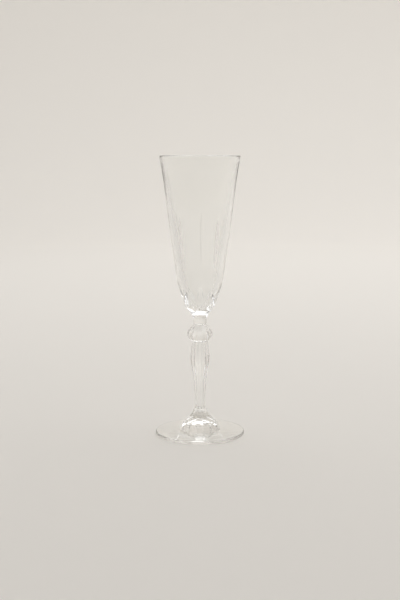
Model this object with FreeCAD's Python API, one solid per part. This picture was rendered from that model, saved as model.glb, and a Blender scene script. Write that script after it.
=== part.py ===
import FreeCAD, Part
import math
import os

# A champagne flute of pressed crystal, in millimetres. The origin is the centre
# of the foot's underside, +Z runs up the glass, and -Y is the front.
# Each section of the glass that is pressed and welded to the next is one solid.

# Heights above the table of the joints between the sections
RIM_TOP = 220.0
BOWL_BOTTOM = 96.8
COLLAR_BOTTOM = 88.0
KNOP_BOTTOM = 74.3
STEM_BOTTOM = 10.0
BOSS_BOTTOM = 3.2

# Radii at those joints
BOWL_BOTTOM_R = 6.95
COLLAR_BOTTOM_R = 5.0
KNOP_BOTTOM_R = 6.1
STEM_BOTTOM_R = 11.2

# The bowl's wall: outside from the rim to the shoulder, then down to the joint
RIM_R = 31.4
OUTER_POINTS = [(18.0, 122.0), (24.5, 169.0), (28.5, 201.0), (RIM_R, 219.0)]
FRONT = -90.0
BASE_TURN = (13.5, 107.3)
BASE_MIDDLE = (10.9, 101.3)

# The bowl's inside, from the lowest point of the hollow to the rim
RIM_WALL = 1.6
INNER_POINTS = [
    (0, 102.0),
    (1.9, 102.95),
    (4.3, 106.0),
    (6.7, 110.0),
    (9.4, 115.5),
    (11.9, 124.0),
    (15.6, 146.5),
    (20.4, 172.0),
    (25.6, 201.0),
    (RIM_R - RIM_WALL, 219.0),
]

# The bowl's cutting: a tall mitre cut between each two wide panels, and a fan of
# short ones under its lower end. A fan cut's lean is how far it goes sideways as
# it drops from the fan's apex.
PANELS = 5
TALL_CUT_MIDDLE_Z = 153.5
TALL_CUT_LENGTH = 41.0
TALL_CUT_DEPTH = 0.9
TALL_CUT_FLANK = 33.0
FAN_LEANS = [-0.42, -0.14, 0.14, 0.42]
FAN_APEX_Z = 116.5
FAN_CUT_MIDDLE_Z = 109.0
FAN_CUT_LENGTH = 15.5
FAN_CUT_DEPTH = 0.85
FAN_CUT_FLANK = 33.0
# How deep the V of the cutting wheel's rim is, more than any cut
WHEEL_BEVEL = 6.0

# The pressed flats round the knop, the stem and the boss
KNOP_FLATS = 12
STEM_FLATS = 12
BOSS_FLATS = 12

COLLAR_WAIST = (5.35, 92.0)
KNOP_WIDEST_R = 9.8
KNOP_BAND_TOP = 82.6
KNOP_BAND_BOTTOM = 78.6

STEM_SWELL = (7.4, 63.0)
STEM_WAIST = (4.1, 28.0)
STEM_POINTS = [
    (STEM_BOTTOM_R, STEM_BOTTOM),
    (7.1, 15.0),
    (4.7, 20.0),
    STEM_WAIST,
    (5.3, 46.0),
    STEM_SWELL,
    (KNOP_BOTTOM_R, KNOP_BOTTOM),
]

BOSS_TOP_R = 12.8
BOSS_SHELF_Z = 9.0
BOSS_BOTTOM_R = 15.8

FOOT_R = 35.3
FOOT_EDGE = 2.0
FOOT_TOP_ROUND = 1.2
FOOT_BOTTOM_ROUND = 0.4
FOOT_DOME = 0.45
RESTING_RING_R = 31.8
FOOT_HOLLOW = 0.7


def flat_point(radius, height):
    """A point of a profile, in the plane of X and Z."""
    return FreeCAD.Vector(radius, 0, height)


def line(start, end):
    return Part.LineSegment(flat_point(*start), flat_point(*end)).toShape()


def arc(start, middle, end):
    ends = [flat_point(*point) for point in (start, middle, end)]
    return Part.Arc(*ends).toShape()


def smooth(points):
    """One curve through all the points."""
    curve = Part.BSplineCurve()
    curve.interpolate([flat_point(*point) for point in points])
    return curve.toShape()


def turned(edges):
    """The solid that a closed profile makes when it turns once round Z."""
    face = Part.Face(Part.Wire(Part.__sortEdges__(edges)))
    return face.revolve(FreeCAD.Vector(0, 0, 0), FreeCAD.Vector(0, 0, 1), 360)


def flatted(edges, flats, half_width):
    """A section with an even number of flats, each as far out as the profile.

    The profile is mirrored to the other side of Z and drawn out sideways into a
    slab, and the solid is what half as many slabs, evenly turned, have in common.
    """
    half_face = Part.Face(Part.Wire(Part.__sortEdges__(edges)))
    half_slab = half_face.extrude(FreeCAD.Vector(0, 2 * half_width, 0))
    half_slab.translate(FreeCAD.Vector(0, -half_width, 0))
    other_half = half_slab.copy()
    other_half.rotate(FreeCAD.Vector(0, 0, 0), FreeCAD.Vector(0, 0, 1), 180)
    slab = half_slab.fuse(other_half).removeSplitter()
    slab.rotate(FreeCAD.Vector(0, 0, 0), FreeCAD.Vector(0, 0, 1), 90)
    solid = slab.copy()
    for turn in range(1, flats // 2):
        next_slab = slab.copy()
        next_slab.rotate(FreeCAD.Vector(0, 0, 0), FreeCAD.Vector(0, 0, 1), turn * 360.0 / flats)
        solid = solid.common(next_slab)
    return solid.removeSplitter()


def mitre_wheel(cut_length, cut_depth, flank):
    """A cutting wheel with a V rim and its axis on Y, and how far out its axis stands.

    A wheel that bites to the depth of the cut leaves a groove as long as its chord.
    """
    radius = cut_length ** 2 / (8 * cut_depth)
    half_width = WHEEL_BEVEL / math.tan(math.radians(flank))
    wheel = Part.makeCone(radius, radius - WHEEL_BEVEL, half_width)
    other_side = wheel.copy()
    other_side.rotate(FreeCAD.Vector(0, 0, 0), FreeCAD.Vector(1, 0, 0), 180)
    wheel = wheel.fuse(other_side)
    wheel.rotate(FreeCAD.Vector(0, 0, 0), FreeCAD.Vector(1, 0, 0), 90)
    return wheel, radius - cut_depth


def cut_ring(body, middle, slope, lean, wheel, reach, first_turn):
    """The body after a ring of equal mitre cuts, one for each panel.

    The middle of a cut is a point of the outside, and the slope is how far the
    outside is from upright there, in radians. The wheel's axis is at its reach
    from the bottom of the cut, and the lean turns the wheel about the surface.
    """
    outward = flat_point(math.cos(slope), -math.sin(slope))
    start = flat_point(*middle)
    tool = wheel.copy()
    tool.translate(start + outward * reach)
    tool.rotate(start, outward, math.degrees(math.atan(lean)))
    tool.rotate(FreeCAD.Vector(0, 0, 0), FreeCAD.Vector(0, 0, 1), first_turn)
    for index in range(PANELS):
        body = body.cut(tool)
        tool.rotate(FreeCAD.Vector(0, 0, 0), FreeCAD.Vector(0, 0, 1), 360.0 / PANELS)
    return body


def radius_at(points, height):
    """The radius between two points of an outline, along a straight line."""
    for low, high in zip(points, points[1:]):
        if low[1] <= height <= high[1]:
            share = (height - low[1]) / (high[1] - low[1])
            return low[0] + share * (high[0] - low[0])
    raise ValueError(height)


def slope_between(low, high):
    """How far the straight line between two points of an outline is from upright."""
    return math.atan2(high[0] - low[0], high[1] - low[1])


def bowl():
    """The tall tapered cup, thick at its base, with a rounded rim."""
    rim_outer = OUTER_POINTS[-1]
    rim_inner = INNER_POINTS[-1]
    rim_crown = ((rim_outer[0] + rim_inner[0]) / 2, RIM_TOP)
    edges = [
        line((0, BOWL_BOTTOM), (BOWL_BOTTOM_R, BOWL_BOTTOM)),
        arc((BOWL_BOTTOM_R, BOWL_BOTTOM), BASE_MIDDLE, BASE_TURN),
        line(BASE_TURN, OUTER_POINTS[0]),
        smooth(OUTER_POINTS),
        arc(rim_outer, rim_crown, rim_inner),
        smooth(INNER_POINTS),
        line(INNER_POINTS[0], (0, BOWL_BOTTOM)),
    ]
    body = turned(edges)
    first_tall = FRONT + 180.0 / PANELS
    tall_middle = (radius_at(OUTER_POINTS, TALL_CUT_MIDDLE_Z), TALL_CUT_MIDDLE_Z)
    wall_slope = slope_between(OUTER_POINTS[0], OUTER_POINTS[1])
    wheel, reach = mitre_wheel(TALL_CUT_LENGTH, TALL_CUT_DEPTH, TALL_CUT_FLANK)
    body = cut_ring(body, tall_middle, wall_slope, 0, wheel, reach, first_tall)
    base_line = [BASE_TURN, OUTER_POINTS[0]]
    fan_middle = (radius_at(base_line, FAN_CUT_MIDDLE_Z), FAN_CUT_MIDDLE_Z)
    base_slope = slope_between(*base_line)
    wheel, reach = mitre_wheel(FAN_CUT_LENGTH, FAN_CUT_DEPTH, FAN_CUT_FLANK)
    for lean in FAN_LEANS:
        sideways = lean * (FAN_APEX_Z - FAN_CUT_MIDDLE_Z)
        turn = first_tall + math.degrees(sideways / fan_middle[0])
        body = cut_ring(body, fan_middle, base_slope, lean, wheel, reach, turn)
    return body


def collar():
    """The short round neck between the bowl and the knop, a little waisted."""
    edges = [
        line((0, COLLAR_BOTTOM), (COLLAR_BOTTOM_R, COLLAR_BOTTOM)),
        arc((COLLAR_BOTTOM_R, COLLAR_BOTTOM), COLLAR_WAIST, (BOWL_BOTTOM_R, BOWL_BOTTOM)),
        line((BOWL_BOTTOM_R, BOWL_BOTTOM), (0, BOWL_BOTTOM)),
        line((0, BOWL_BOTTOM), (0, COLLAR_BOTTOM)),
    ]
    return turned(edges)


def knop():
    """The faceted ball under the collar, with a flat band round its middle."""
    top_corner = (KNOP_WIDEST_R, KNOP_BAND_TOP)
    low_corner = (KNOP_WIDEST_R, KNOP_BAND_BOTTOM)
    edges = [
        line((0, KNOP_BOTTOM), (KNOP_BOTTOM_R, KNOP_BOTTOM)),
        line((KNOP_BOTTOM_R, KNOP_BOTTOM), low_corner),
        line(low_corner, top_corner),
        line(top_corner, (COLLAR_BOTTOM_R, COLLAR_BOTTOM)),
        line((COLLAR_BOTTOM_R, COLLAR_BOTTOM), (0, COLLAR_BOTTOM)),
        line((0, COLLAR_BOTTOM), (0, KNOP_BOTTOM)),
    ]
    return flatted(edges, KNOP_FLATS, 2 * KNOP_WIDEST_R)


def stem():
    """The swelling stem with long flats, flared at its lower end."""
    edges = [
        line((0, STEM_BOTTOM), STEM_POINTS[0]),
        smooth(STEM_POINTS),
        line(STEM_POINTS[-1], (0, KNOP_BOTTOM)),
        line((0, KNOP_BOTTOM), (0, STEM_BOTTOM)),
    ]
    return flatted(edges, STEM_FLATS, 2 * STEM_BOTTOM_R)


def foot_boss():
    """The stepped collar with flats that joins the stem to the foot."""
    outline = [
        (0, BOSS_BOTTOM),
        (BOSS_BOTTOM_R, BOSS_BOTTOM),
        (BOSS_TOP_R, BOSS_SHELF_Z),
        (STEM_BOTTOM_R, STEM_BOTTOM),
        (0, STEM_BOTTOM),
        (0, BOSS_BOTTOM),
    ]
    edges = [line(start, end) for start, end in zip(outline, outline[1:])]
    return flatted(edges, BOSS_FLATS, 2 * BOSS_BOTTOM_R)


def foot():
    """The round foot: a disc with a domed top, a rounded edge and a shallow hollow."""
    edge_top = (FOOT_R - FOOT_TOP_ROUND, FOOT_EDGE)
    edge_side = (FOOT_R, FOOT_EDGE - FOOT_TOP_ROUND)
    quarter = math.cos(math.radians(45))
    round_top = (FOOT_R - FOOT_TOP_ROUND * (1 - quarter), FOOT_EDGE - FOOT_TOP_ROUND * (1 - quarter))
    edge_low = (FOOT_R, FOOT_BOTTOM_ROUND)
    round_low = (FOOT_R - FOOT_BOTTOM_ROUND * (1 - quarter), FOOT_BOTTOM_ROUND * (1 - quarter))
    ring_outer = (FOOT_R - FOOT_BOTTOM_ROUND, 0)
    boss_edge_r = BOSS_BOTTOM_R / math.cos(math.pi / BOSS_FLATS)
    dome_middle = ((boss_edge_r + edge_top[0]) / 2, FOOT_EDGE + FOOT_DOME * (BOSS_BOTTOM - FOOT_EDGE))
    edges = [
        line((0, BOSS_BOTTOM), (boss_edge_r, BOSS_BOTTOM)),
        arc((boss_edge_r, BOSS_BOTTOM), dome_middle, edge_top),
        arc(edge_top, round_top, edge_side),
        line(edge_side, edge_low),
        arc(edge_low, round_low, ring_outer),
        line(ring_outer, (0, 0)),
        line((0, 0), (0, BOSS_BOTTOM)),
    ]
    hollow_radius = (RESTING_RING_R ** 2 + FOOT_HOLLOW ** 2) / (2 * FOOT_HOLLOW)
    hollow = Part.makeSphere(hollow_radius, flat_point(0, FOOT_HOLLOW - hollow_radius))
    return turned(edges).cut(hollow)


SECTIONS = {
    "bowl": bowl,
    "collar": collar,
    "knop": knop,
    "stem": stem,
    "foot_boss": foot_boss,
    "foot": foot,
}

os.makedirs("parts", exist_ok=True)
for name, make in SECTIONS.items():
    make().exportStep("parts/" + name + ".step")
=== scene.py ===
import math

import bpy
import numpy as np
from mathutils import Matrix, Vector


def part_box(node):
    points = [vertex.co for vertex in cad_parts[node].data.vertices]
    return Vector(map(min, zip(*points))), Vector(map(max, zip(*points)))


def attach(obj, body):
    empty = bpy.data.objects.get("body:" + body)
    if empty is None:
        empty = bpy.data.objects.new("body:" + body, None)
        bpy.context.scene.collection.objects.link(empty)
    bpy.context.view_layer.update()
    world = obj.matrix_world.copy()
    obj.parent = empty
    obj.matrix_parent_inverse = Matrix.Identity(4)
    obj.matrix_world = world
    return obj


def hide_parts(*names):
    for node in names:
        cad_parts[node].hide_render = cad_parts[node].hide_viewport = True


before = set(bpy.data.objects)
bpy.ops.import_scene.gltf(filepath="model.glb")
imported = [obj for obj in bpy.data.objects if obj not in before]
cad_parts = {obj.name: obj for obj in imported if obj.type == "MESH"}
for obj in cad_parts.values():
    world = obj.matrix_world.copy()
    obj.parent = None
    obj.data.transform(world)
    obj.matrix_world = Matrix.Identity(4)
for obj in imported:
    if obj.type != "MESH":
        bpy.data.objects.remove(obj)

# The looks of a champagne flute of pressed crystal: six sections of clear glass,
# welded end to end. Lengths in the glass's own curves are in millimetres, as a
# maker's drawing gives them, and MM turns them into metres.

MM = 0.001
TURN = 2 * math.pi
DEGREE = math.pi / 180

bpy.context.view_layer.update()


def height_of(node, end):
    """The lowest or highest point of a CAD section, in millimetres."""
    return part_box(node)[end].z / MM


LOW, HIGH = 0, 1
RIM_TOP = height_of("bowl", HIGH)
BOWL_BOTTOM = height_of("bowl", LOW)
COLLAR_BOTTOM = height_of("collar", LOW)
KNOP_BOTTOM = height_of("knop", LOW)
STEM_BOTTOM = height_of("stem", LOW)
BOSS_BOTTOM = height_of("foot_boss", LOW)
RIM_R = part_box("bowl")[HIGH].x / MM
FOOT_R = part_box("foot")[HIGH].x / MM
BOSS_BOTTOM_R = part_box("foot_boss")[HIGH].y / MM
STEM_BOTTOM_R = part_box("stem")[HIGH].y / MM
KNOP_WIDEST_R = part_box("knop")[HIGH].y / MM

# Radii of the welds that no box gives
BOWL_BOTTOM_R = 6.95
COLLAR_BOTTOM_R = 5.0
KNOP_BOTTOM_R = 6.1

# The bowl's wall, as (radius, height), from the base up
RIM_WALL = 1.6
SHOULDER = (18.0, 122.0)
BASE_TURN = (13.5, 107.3)
BASE_CURVE = [(BOWL_BOTTOM_R, BOWL_BOTTOM), (10.9, 101.3), BASE_TURN]
WALL_CURVE = [SHOULDER, (24.5, 169.0), (28.5, 201.0), (RIM_R, RIM_TOP - RIM_WALL / 2)]

# The hollow's lower end is a cone with a rounded tip: its slope far from the tip,
# and how high above the tip the rounding reaches
HOLLOW_BOTTOM = 102.0
HOLLOW_SLOPE = 0.49
HOLLOW_ROUNDING = 7.7
HOLLOW_CURVE = [
    (4.3, 106.0),
    (6.7, 110.0),
    (9.4, 115.5),
    (11.9, 124.0),
    (15.6, 146.5),
    (20.4, 172.0),
    (25.6, 201.0),
    (RIM_R - RIM_WALL, RIM_TOP - RIM_WALL / 2),
]

# The cutting: a tall mitre cut between each two wide panels, and under its lower
# end a fan of four short ones, two each side. A fan cut's lean is how far it goes
# sideways as it drops from the fan's apex.
PANELS = 5
TALL_CUT = {"middle": 153.5, "length": 41.0, "depth": 0.9, "flank": 33.0}
FAN_CUT = {"middle": 109.0, "length": 15.5, "depth": 0.9, "flank": 33.0}
FAN_APEX = 116.5
FAN_LEANS = (0.14, 0.42)
LEAST_WIDTH = 0.35
COLUMNS_BETWEEN = (4, 3, 3, 4, 13)

# The ring of flats round each lower section. A ridge keeps this share of its height
# over the flats, and is rounded off within this share of the distance from the axis.
FLATS = 12
COLUMNS_PER_FLAT = 16
RIDGE_SHARPNESS = 0.95
RIDGE_ROUNDING = 0.0015
# How deep the stem's flats are ground hollow, as a share of their distance from the axis
STEM_HOLLOW = 0.03
KNOP_HOLLOW = 0.015

# The knop's flat band, how far its corners are eased, and the height over which
# its top turns from round at the weld to faceted
KNOP_BAND = (78.6, 82.6)
KNOP_EASE = 0.42
KNOP_ROUND_TOP = 1.2

COLLAR_WAIST = [(5.2, 90.5), (5.45, 93.0)]
STEM_CURVE = [(7.1, 15.0), (4.7, 20.0), (4.1, 28.0), (5.3, 46.0), (7.4, 63.0)]
BOSS_SHELF = (12.8, 9.0)
BOSS_EASE = 0.25

# The foot: its edge, the ring that it rests on, the hollow inside that ring, and
# the dome, which rises from near the edge to the boss
FOOT_EDGE = 2.0
FOOT_EASE = 0.38
RESTING_RING_R = 31.8
FOOT_HOLLOW = 0.7
DOME_OUTER_R = 31.5
DOME_INNER_R = 17.6
DOME_START = FOOT_EDGE + 0.22
DOME_STEEPENING = 1.2


def through(points, heights):
    """The radius of a smooth outline at each height.

    Between two points it is a cubic whose slope at each point is that of the
    straight line between the point's two neighbours.
    """
    radii, levels = np.array(points, float).T
    slopes = np.gradient(radii, levels)
    index = np.clip(np.searchsorted(levels, heights) - 1, 0, len(levels) - 2)
    span = levels[index + 1] - levels[index]
    t = (heights - levels[index]) / span
    start = (1 + 2 * t) * (1 - t) ** 2 * radii[index]
    start_slope = t * (1 - t) ** 2 * span * slopes[index]
    end = t * t * (3 - 2 * t) * radii[index + 1]
    end_slope = t * t * (t - 1) * span * slopes[index + 1]
    return start + start_slope + end + end_slope


def levels(*stops):
    """Heights from stop to stop: each pair of stops is (height, steps up to it)."""
    start = stops[0]
    heights = [np.array([start])]
    for stop, steps in stops[1:]:
        heights.append(np.linspace(start, stop, steps + 1)[1:])
        start = stop
    return np.concatenate(heights)


def wall_radius(heights):
    """The bowl's outside without its cuts: curved base, straight flare, wall."""
    base = through(BASE_CURVE, np.minimum(heights, BASE_TURN[1]))
    flare = np.interp(heights, [BASE_TURN[1], SHOULDER[1]], [BASE_TURN[0], SHOULDER[0]])
    wall = through(WALL_CURVE, np.maximum(heights, SHOULDER[1]))
    lower = np.where(heights < BASE_TURN[1], base, flare)
    return np.where(heights < SHOULDER[1], lower, wall)


def cut_depth(cut, heights):
    """How deep a mitre cut's bottom lies: a parabola along its length."""
    share = (heights - cut["middle"]) / (cut["length"] / 2)
    return cut["depth"] * np.maximum(1 - share * share, 0)


def cut_half_width(cut, heights, radii):
    """Half a cut's width, where its flank meets the round surface."""
    slope = math.tan(cut["flank"] * DEGREE)
    depth = cut_depth(cut, heights)
    return radii * (np.sqrt(slope * slope + 2 * depth / radii) - slope)


def cut_bite(cut, heights, radii, sideways):
    """How much a cut takes off, at a distance sideways from its bottom line.

    It is the depth at the bottom less the rise of the V's flank, less what the
    round surface has already fallen away.
    """
    slope = math.tan(cut["flank"] * DEGREE)
    fall = sideways * sideways / (2 * radii)
    return np.maximum(cut_depth(cut, heights) - np.abs(sideways) * slope - fall, 0)


def panel_marks(heights):
    """The angles that the bowl's columns follow, from a tall cut to the panel's middle.

    In order: the tall cut's bottom, its edge or the first fan cut's bottom, the
    ridge between the two fan cuts, the second one's bottom, its outer edge, and
    the middle of the wide panel. Below the fan they go straight down.
    """
    heights = np.maximum(heights, FAN_CUT["middle"] - FAN_CUT["length"] / 2)
    radii = wall_radius(heights)
    drop = np.maximum(FAN_APEX - heights, 0)
    tall_edge = np.maximum(cut_half_width(TALL_CUT, heights, radii), LEAST_WIDTH)
    first = np.maximum(FAN_LEANS[0] * drop, tall_edge)
    second = np.maximum(FAN_LEANS[1] * drop, first + 2 * LEAST_WIDTH)
    outer = second + np.maximum(cut_half_width(FAN_CUT, heights, radii), LEAST_WIDTH)
    middle = radii * math.pi / PANELS
    return np.stack([0 * radii, first, (first + second) / 2, second, outer, middle]) / radii


def cut_wall(heights):
    """The angle and the radius of every point of the bowl's cut outside."""
    marks = panel_marks(heights)[:, :, None]
    spans = []
    for start, end, count in zip(marks, marks[1:], COLUMNS_BETWEEN):
        spans.append(start + (end - start) * np.arange(count) / count)
    half = np.concatenate(spans, 1)
    near = np.concatenate([half, marks[-1], half[:, :0:-1]], 1)
    panel = TURN / PANELS
    across = np.concatenate([half, marks[-1], panel - half[:, :0:-1]], 1)
    wall = wall_radius(heights)[:, None]
    level = heights[:, None]
    bites = [cut_bite(TALL_CUT, level, wall, near * wall)]
    for lean in FAN_LEANS:
        line = lean * np.maximum(FAN_APEX - level, 0)
        sideways = (near * wall - line) * math.cos(math.atan(lean))
        bites.append(cut_bite(FAN_CUT, level, wall, sideways))
    radii = wall - np.max(bites, 0)
    angles = np.concatenate([across + panel * (turn + 0.5) for turn in range(PANELS)], 1)
    return angles, np.tile(radii, PANELS)


def placed(radii, angles, heights):
    """Points in metres. Angle 0 is the front, facing -Y, and angles grow towards +X."""
    radii, angles, heights = np.broadcast_arrays(radii, angles, heights)
    return np.stack([radii * np.sin(angles), -radii * np.cos(angles), heights], -1) * MM


def closed_skin(name, rings, first_is_weld, last_is_weld, first_tip, last_tip):
    """A closed mesh from rings of points, each ring one turn round the glass.

    Neighbouring rings are joined by four-sided faces, and the first and the last
    are each closed by a fan of triangles to a tip on the axis. A fan that is a
    weld gets the second material.
    """
    rows, columns = rings.shape[:2]
    points = np.concatenate([rings.reshape(-1, 3), [first_tip, last_tip]])
    here = np.arange(columns)
    after = (here + 1) % columns
    row = np.arange(rows - 1)[:, None] * columns
    quads = np.stack([row + here, row + after, row + columns + after, row + columns + here], -1)
    quads = quads.reshape(-1, 4)
    top_row = (rows - 1) * columns
    first = np.stack([after, here, np.full(columns, rows * columns)], -1)
    last = np.stack([top_row + here, top_row + after, np.full(columns, rows * columns + 1)], -1)
    triangles = np.concatenate([first, last])
    mesh = bpy.data.meshes.new(name)
    corners = np.concatenate([quads.ravel(), triangles.ravel()])
    sizes = np.concatenate([np.full(len(quads), 4), np.full(len(triangles), 3)])
    mesh.vertices.add(len(points))
    mesh.vertices.foreach_set("co", points.ravel())
    mesh.loops.add(len(corners))
    mesh.loops.foreach_set("vertex_index", corners)
    mesh.polygons.add(len(sizes))
    mesh.polygons.foreach_set("loop_start", np.cumsum(sizes) - sizes)
    mesh.polygons.foreach_set("use_smooth", np.ones(len(sizes), bool))
    slots = np.zeros(len(sizes), np.int32)
    slots[len(quads):len(quads) + columns] = int(first_is_weld)
    slots[len(quads) + columns:] = int(last_is_weld)
    mesh.polygons.foreach_set("material_index", slots)
    mesh.update(calc_edges=True)
    mesh.validate()
    sharpen(mesh, slots)
    piece = bpy.data.objects.new(name, mesh)
    bpy.context.scene.collection.objects.link(piece)
    return piece


def sharpen(mesh, slots):
    """Marks the edges round each weld sharp, so that the sides' shading stays true."""
    loops = np.empty(len(mesh.loops), np.int32)
    mesh.loops.foreach_get("edge_index", loops)
    starts = np.empty(len(mesh.polygons), np.int32)
    mesh.polygons.foreach_get("loop_start", starts)
    sizes = np.diff(np.append(starts, len(loops)))
    slot_of_loop = np.repeat(slots, sizes)
    welded = np.bincount(loops[slot_of_loop == 1], minlength=len(mesh.edges)) > 0
    plain = np.bincount(loops[slot_of_loop == 0], minlength=len(mesh.edges)) > 0
    sharp = mesh.attributes.new("sharp_edge", "BOOLEAN", "EDGE")
    sharp.data.foreach_set("value", welded & plain)


def on_axis(height):
    return np.array([0, 0, height]) * MM


def bowl():
    """The cup: out from the weld, up the cut wall, over the rim and down inside."""
    tall_low = TALL_CUT["middle"] - TALL_CUT["length"] / 2
    tall_high = TALL_CUT["middle"] + TALL_CUT["length"] / 2
    wall_top = RIM_TOP - RIM_WALL / 2
    fan_top = FAN_CUT["middle"] + FAN_CUT["length"] / 2
    heights = levels(BOWL_BOTTOM, (fan_top, 54), (SHOULDER[1] + 0.2, 5), (tall_low, 9),
                     (tall_high, 56), (wall_top, 34))
    angles, radii = cut_wall(heights)
    outside = placed(radii, angles, heights[:, None])
    top_angles = angles[-1]
    turn = np.linspace(0, math.pi, 9)[1:-1, None]
    rim_r = RIM_R - RIM_WALL / 2 + RIM_WALL / 2 * np.cos(turn)
    rim = placed(rim_r, top_angles, wall_top + RIM_WALL / 2 * np.sin(turn))
    cone_top = HOLLOW_CURVE[1][1]
    inner_heights = levels(cone_top, (wall_top, 74))[::-1]
    inner_r = through(HOLLOW_CURVE, inner_heights)
    inside = placed(inner_r[:, None], top_angles, inner_heights[:, None])
    rise = (cone_top - HOLLOW_BOTTOM) * np.linspace(1, 0, 21)[1:-1, None] ** 2
    cup_r = HOLLOW_SLOPE * np.sqrt(rise * rise + 2 * rise * HOLLOW_ROUNDING)
    cup = placed(cup_r, top_angles, HOLLOW_BOTTOM + rise)
    rings = np.concatenate([outside, rim, inside, cup])
    return closed_skin("bowl_crystal", rings, True, False, on_axis(BOWL_BOTTOM), on_axis(HOLLOW_BOTTOM))


def section(name, outline, flat_share, weld_bottom, weld_top, hollow=0.0):
    """A solid section from its outline, as (radius, height) from the bottom up.

    Its cross-section runs from a circle to a ring of flats as flat_share goes
    from 0 to 1. The flats' distance from the axis is the outline's radius, and
    their ridges are eased by holding them inside a circle. The flats may be
    ground hollow: their middles then lie closer to the axis, by a parabola.
    """
    radii, heights = outline
    step = math.pi / FLATS
    spread = np.sin(np.linspace(-1, 1, COLUMNS_PER_FLAT + 1)[:-1] * math.pi / 2) * step
    angles = (spread + 2 * step * np.arange(FLATS)[:, None]).ravel()
    local = (angles + step) % (2 * step) - step
    flat = 1 / np.cos(local)
    corner = 1 + RIDGE_SHARPNESS * (1 / math.cos(step) - 1)
    gap = flat - corner
    eased = (flat + corner - np.sqrt(gap * gap + RIDGE_ROUNDING ** 2)) / 2
    dip = hollow * (1 - (local / step) ** 2)
    shape = 1 + (eased - 1 - dip) * flat_share[:, None]
    rings = placed(radii[:, None] * shape, angles, heights[:, None])
    return closed_skin(name, rings, weld_bottom, weld_top, on_axis(heights[0]), on_axis(heights[-1]))


def eased_path(points, ease, steps):
    """A path of straight lines with every inner corner rounded.

    Each corner becomes a parabola that starts and ends the ease's share of the
    way along the shorter of its two lines.
    """
    corners = np.array(points, float)
    path = [corners[:1]]
    share = np.linspace(0, 1, steps)[:, None]
    for before, corner, after in zip(corners, corners[1:], corners[2:]):
        reach = ease * min(np.linalg.norm(before - corner), np.linalg.norm(after - corner))
        start = corner + (before - corner) / np.linalg.norm(before - corner) * reach
        end = corner + (after - corner) / np.linalg.norm(after - corner) * reach
        path.append(start * (1 - share) ** 2 + 2 * corner * share * (1 - share) + end * share ** 2)
    path.append(corners[-1:])
    return np.concatenate(path).T


def filled_in(path, longest):
    """The path with extra points along its straight lines, none further apart than longest."""
    points = path.T
    pieces = [points[:1]]
    for start, end in zip(points, points[1:]):
        steps = max(1, math.ceil(np.linalg.norm(end - start) / longest))
        pieces.append(start + (end - start) * np.arange(1, steps + 1)[:, None] / steps)
    return np.concatenate(pieces).T


def collar():
    """The short neck: a round waist between the bowl and the knop."""
    heights = levels(COLLAR_BOTTOM, (BOWL_BOTTOM, 28))
    waist = [(COLLAR_BOTTOM_R, COLLAR_BOTTOM), *COLLAR_WAIST, (BOWL_BOTTOM_R, BOWL_BOTTOM)]
    return section("collar_crystal", (through(waist, heights), heights), 0 * heights, True, True)


def knop():
    """The faceted ball, with a flat band round its middle."""
    corners = [
        (KNOP_BOTTOM_R, KNOP_BOTTOM),
        (KNOP_WIDEST_R, KNOP_BAND[0]),
        (KNOP_WIDEST_R, KNOP_BAND[1]),
        (COLLAR_BOTTOM_R, COLLAR_BOTTOM),
    ]
    path = filled_in(eased_path(corners, KNOP_EASE, 9), 0.5)
    flat_share = np.minimum((COLLAR_BOTTOM - path[1]) / KNOP_ROUND_TOP, 1)
    return section("knop_crystal", path, flat_share, True, True, KNOP_HOLLOW)


def stem():
    """The long stem: flared at the boss, waisted, and swelling below the knop."""
    curve = [(STEM_BOTTOM_R, STEM_BOTTOM), *STEM_CURVE, (KNOP_BOTTOM_R, KNOP_BOTTOM)]
    heights = levels(STEM_BOTTOM, (22.0, 36), (KNOP_BOTTOM, 70))
    return section("stem_crystal", (through(curve, heights), heights), 0 * heights + 1, True, True,
                   STEM_HOLLOW)


def foot_boss():
    """The stepped piece between the stem and the foot: a shelf over a skirt."""
    corners = [(BOSS_BOTTOM_R, BOSS_BOTTOM), BOSS_SHELF, (STEM_BOTTOM_R, STEM_BOTTOM)]
    path = filled_in(eased_path(corners, BOSS_EASE, 6), 0.5)
    return section("foot_boss_crystal", path, 0 * path[1] + 1, True, True, STEM_HOLLOW)


def foot():
    """The disc: hollow underneath, a flat resting ring, a rounded edge and a low dome.

    The hollow is a parabola. The dome falls from the boss by a power of the
    distance outwards, a little steeper than a straight slope at its outer end.
    """
    under_r = np.linspace(0.4, RESTING_RING_R, 26)
    under_z = FOOT_HOLLOW * (1 - (under_r / RESTING_RING_R) ** 2)
    corners = [
        (RESTING_RING_R, 0),
        (FOOT_R, 0),
        (FOOT_R, FOOT_EDGE),
        (DOME_OUTER_R, DOME_START),
    ]
    side = filled_in(eased_path(corners, FOOT_EASE, 8), 0.7)
    dome_r = np.linspace(DOME_OUTER_R, DOME_INNER_R, 16)[1:]
    outwards = (dome_r - DOME_INNER_R) / (DOME_OUTER_R - DOME_INNER_R)
    dome_z = BOSS_BOTTOM - (BOSS_BOTTOM - DOME_START) * outwards ** DOME_STEEPENING
    radii = np.concatenate([under_r, side[0][1:], dome_r, [BOSS_BOTTOM_R]])
    heights = np.concatenate([under_z, side[1][1:], dome_z, [BOSS_BOTTOM]])
    flat_share = np.where(np.arange(len(radii)) == len(radii) - 1, 1.0, 0.0)
    return section("foot_crystal", (radii, heights), flat_share, False, True)


class Value:
    """One output of a material's node, to be linked into another node."""

    def __init__(self, socket):
        self.socket = socket


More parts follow.
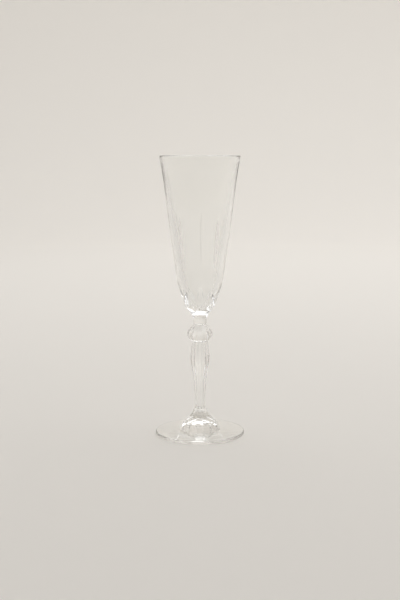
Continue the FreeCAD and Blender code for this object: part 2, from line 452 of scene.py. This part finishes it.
class Finish:
    """One material's nodes."""

    def __init__(self, name):
        self.material = bpy.data.materials.new(name)
        self.material.use_nodes = True
        self.nodes = self.material.node_tree.nodes
        self.links = self.material.node_tree.links
        self.nodes.clear()

    def node(self, kind, settings, inputs, output=0):
        """Adds a node: its settings first, then the value or link of each socket."""
        made = self.nodes.new(kind)
        for name, value in settings.items():
            setattr(made, name, value)
        for name, value in inputs.items():
            if isinstance(value, Value):
                self.links.new(value.socket, made.inputs[name])
            else:
                made.inputs[name].default_value = value
        return Value(made.outputs[output])

    def place(self):
        """Where on the glass a point is, in metres."""
        return self.node("ShaderNodeTexCoord", {}, {}, "Object")

    def noise(self, place, scale, detail):
        return self.node("ShaderNodeTexNoise", {}, {"Vector": place, "Scale": scale, "Detail": detail})

    def shown(self, surface):
        output = self.nodes.new("ShaderNodeOutputMaterial")
        self.links.new(surface.socket, output.inputs["Surface"])
        return self.material


CRYSTAL_INDEX = 1.52


def crystal():
    """Clear pressed crystal: faint slow ripples that a mould leaves in the surface."""
    finish = Finish("clear pressed crystal")
    place = finish.place()
    stretched = finish.node("ShaderNodeMapping", {}, {"Vector": place, "Scale": (1.0, 1.0, 0.35)})
    ripple = finish.noise(stretched, 90.0, 1.0)
    bump = finish.node("ShaderNodeBump", {}, {"Strength": 0.12, "Distance": 0.0004, "Height": ripple})
    settings = {
        "Base Color": (0.985, 0.988, 0.982, 1),
        "Roughness": 0.0,
        "IOR": CRYSTAL_INDEX,
        "Transmission Weight": 1.0,
        "Normal": bump,
    }
    return finish.shown(finish.node("ShaderNodeBsdfPrincipled", {}, settings))


def weld():
    """The face where two sections are welded: nothing shows there."""
    finish = Finish("welded face")
    return finish.shown(finish.node("ShaderNodeBsdfTransparent", {}, {}))


# The studio, in metres: the paper's flat part, its curve up into the wall, and
# the small gap that keeps the glass's resting ring off the paper
FLOOR_R = 1.7
TURN_R = 0.9
WALL_TOP = 2.6
FLOOR_GAP = 0.0002
FLOOR_RINGS = [0.001, 0.3, 0.8]
COVE_SIDES = 96
COVE_STEPS = 24
PAPER = (0.80, 0.776, 0.74)


def stage_finish(name, colour, roughness):
    finish = Finish(name)
    settings = {"Base Color": (*colour, 1), "Roughness": roughness, "Specular IOR Level": 0.0}
    return finish.shown(finish.node("ShaderNodeBsdfPrincipled", {}, settings))


crystal_finish = crystal()
weld_finish = weld()

for node, make in {
    "bowl": bowl,
    "collar": collar,
    "knop": knop,
    "stem": stem,
    "foot_boss": foot_boss,
    "foot": foot,
}.items():
    piece = make()
    piece.data.materials.append(crystal_finish)
    piece.data.materials.append(weld_finish)
    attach(piece, "root")
    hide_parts(node)


def cove():
    """The floor and the wall in one: a disc that curves up into a round wall, open above."""
    turn = np.linspace(0, math.pi / 2, COVE_STEPS)
    radii = np.concatenate([FLOOR_RINGS, FLOOR_R + TURN_R * np.sin(turn), [FLOOR_R + TURN_R]])
    heights = np.concatenate([[0] * len(FLOOR_RINGS), TURN_R * (1 - np.cos(turn)), [WALL_TOP]]) - FLOOR_GAP
    angles = np.linspace(0, TURN, COVE_SIDES + 1)[:-1]
    points = placed(radii[:, None], angles, heights[:, None]).reshape(-1, 3) / MM
    here = np.arange(COVE_SIDES)
    after = (here + 1) % COVE_SIDES
    row = np.arange(len(radii) - 1)[:, None] * COVE_SIDES
    next_row = row + COVE_SIDES
    quads = np.stack([row + here, next_row + here, next_row + after, row + after], -1).reshape(-1, 4)
    mesh = bpy.data.meshes.new("studio_cove")
    mesh.from_pydata(points, [], quads.tolist())
    mesh.polygons.foreach_set("use_smooth", np.ones(len(quads), bool))
    skin = bpy.data.objects.new("studio_cove", mesh)
    bpy.context.scene.collection.objects.link(skin)
    skin.data.materials.append(stage_finish("pale studio paper", PAPER, 0.7))
    return skin


def area_light(name, place, target, size, power):
    data = bpy.data.lights.new(name, "AREA")
    data.shape = "DISK"
    data.size = size
    data.energy = power
    lamp = bpy.data.objects.new(name, data)
    bpy.context.scene.collection.objects.link(lamp)
    lamp.location = place
    aim = np.array(target) - np.array(place)
    lamp.rotation_mode = "QUATERNION"
    lamp.rotation_quaternion = Vector(aim).to_track_quat("-Z", "Y")
    return lamp


def camera():
    """The camera stands level with the rim and looks a little down."""
    azimuth, tilt, distance = 2.9 * DEGREE, 8.2 * DEGREE, 0.783
    data = bpy.data.cameras.new("camera")
    data.sensor_width = 36.0
    data.lens = 60.24
    made = bpy.data.objects.new("camera", data)
    bpy.context.scene.collection.objects.link(made)
    made.location = (math.sin(azimuth) * distance, -math.cos(azimuth) * distance, RIM_TOP * MM)
    made.rotation_euler = (math.pi / 2 - tilt, 0, azimuth)
    bpy.context.scene.camera = made


cove()
area_light("overhead softbox", (0.3, 1.0, 1.9), (0.1, 0.7, 0.0), 3.3, 36.5)
camera()

# How bright the studio air above the wall is
AIR_LIGHT = 0.33

scene = bpy.context.scene
world = bpy.data.worlds.new("studio air")
world.use_nodes = True
world.node_tree.nodes["Background"].inputs["Color"].default_value = (1, 1, 1, 1)
world.node_tree.nodes["Background"].inputs["Strength"].default_value = AIR_LIGHT
scene.world = world
scene.view_settings.view_transform = "Standard"
scene.cycles.max_bounces = 32
scene.cycles.transmission_bounces = 32
scene.cycles.glossy_bounces = 32
scene.cycles.diffuse_bounces = 8
scene.cycles.blur_glossy = 0.0
scene.cycles.transparent_max_bounces = 32
